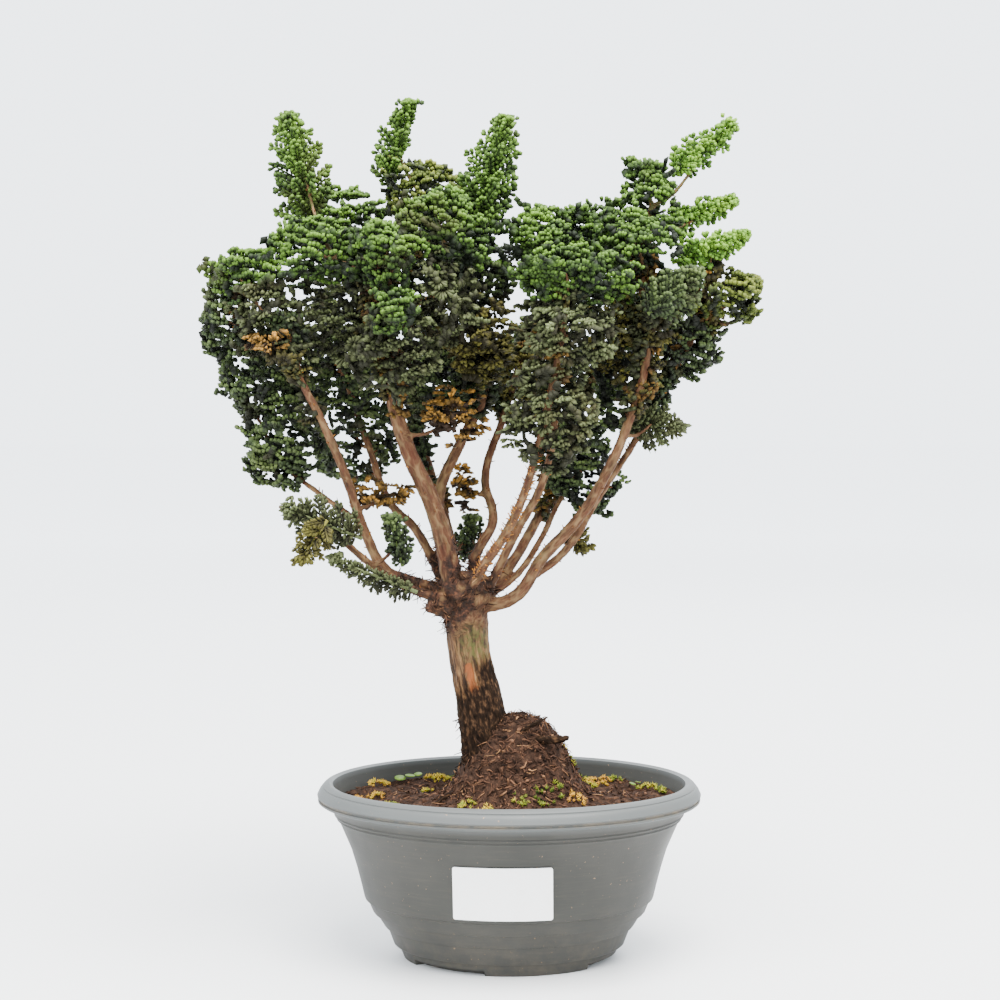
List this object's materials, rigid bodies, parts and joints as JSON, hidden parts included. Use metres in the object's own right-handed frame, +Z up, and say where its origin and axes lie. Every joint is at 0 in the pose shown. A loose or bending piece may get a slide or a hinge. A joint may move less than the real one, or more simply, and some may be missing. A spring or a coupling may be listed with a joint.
{
  "type": "hinoki cypress bonsai in a pot",
  "caption": "Clump-stemmed hinoki cypress bonsai with layered scale-leaf tufts, rooted in mounded soil in an oval plastic training pot.",
  "frame": {"origin": "middle of the pot's flat base, on the surface that it stands on", "axes": "+Z up along the trunk, -Y towards the front with the label, +X to the right"},
  "size_m": [0.2795, 0.1744, 0.4264],
  "materials": {
    "pot_plastic": "satin",
    "label_paper": "matte",
    "soil": "matte",
    "bark": "rough",
    "foliage_bright": "matte",
    "foliage_lime": "matte",
    "foliage_deep": "matte",
    "foliage_grey": "matte",
    "foliage_olive": "matte",
    "foliage_tawny": "matte",
    "foliage_ochre": "matte"
  },
  "bodies": {
    "root": {"pot": "pot_plastic", "label": "label_paper", "soil": "soil", "trunk_and_branches": "bark", "foliage_dome_middle": "foliage_tawny", "foliage_crown_left": "foliage_bright", "foliage_crown_front": "foliage_bright", "foliage_crown_middle": "foliage_bright", "foliage_shoulder_left": "foliage_bright", "foliage_side_left": "foliage_deep", "foliage_front_drop": "foliage_bright", "foliage_inner_left": "foliage_grey", "foliage_inner_dark": "foliage_grey", "foliage_inner_middle": "foliage_grey", "foliage_edge_middle": "foliage_deep", "foliage_olive_middle": "foliage_olive", "foliage_dead_left": "foliage_ochre", "foliage_low_side_left": "foliage_deep", "foliage_low_left": "foliage_deep", "foliage_low_back_left": "foliage_deep", "foliage_hollow_left": "foliage_deep", "foliage_hollow_grey": "foliage_grey", "foliage_dead_middle": "foliage_ochre", "foliage_dead_low": "foliage_ochre", "foliage_dead_high": "foliage_ochre", "foliage_middle_low": "foliage_deep", "foliage_olive_right": "foliage_olive", "foliage_crown_notch": "foliage_bright", "foliage_crown_right": "foliage_bright", "foliage_front_right": "foliage_bright", "foliage_shoulder_right": "foliage_bright", "foliage_top_right": "foliage_bright", "foliage_side_right": "foliage_tawny", "foliage_under_right": "foliage_deep", "foliage_inner_right": "foliage_olive", "foliage_hanging_upper": "foliage_grey", "foliage_hanging_low": "foliage_grey", "foliage_right_middle": "foliage_deep", "foliage_low_right": "foliage_deep", "foliage_rear_left": "foliage_bright", "foliage_rear_middle": "foliage_bright", "foliage_rear_right": "foliage_bright", "foliage_rear_side_right": "foliage_deep", "foliage_rear_side_left": "foliage_deep", "foliage_rear_low": "foliage_deep", "foliage_rear_low_right": "foliage_deep", "foliage_finger_left": "foliage_bright", "foliage_finger_middle": "foliage_bright", "foliage_finger_right": "foliage_bright", "foliage_finger_far": "foliage_lime", "foliage_finger_side": "foliage_lime", "foliage_finger_low": "foliage_lime", "foliage_blue_spray": "foliage_deep", "foliage_trailing_left": "foliage_grey", "foliage_trailing_front": "foliage_olive", "foliage_trailing_under": "foliage_grey", "foliage_sprig_front": "foliage_deep", "foliage_sprig_dark": "foliage_deep", "foliage_trailing_right": "foliage_grey", "foliage_sprig_right": "foliage_olive"}
  },
  "joints": []
}
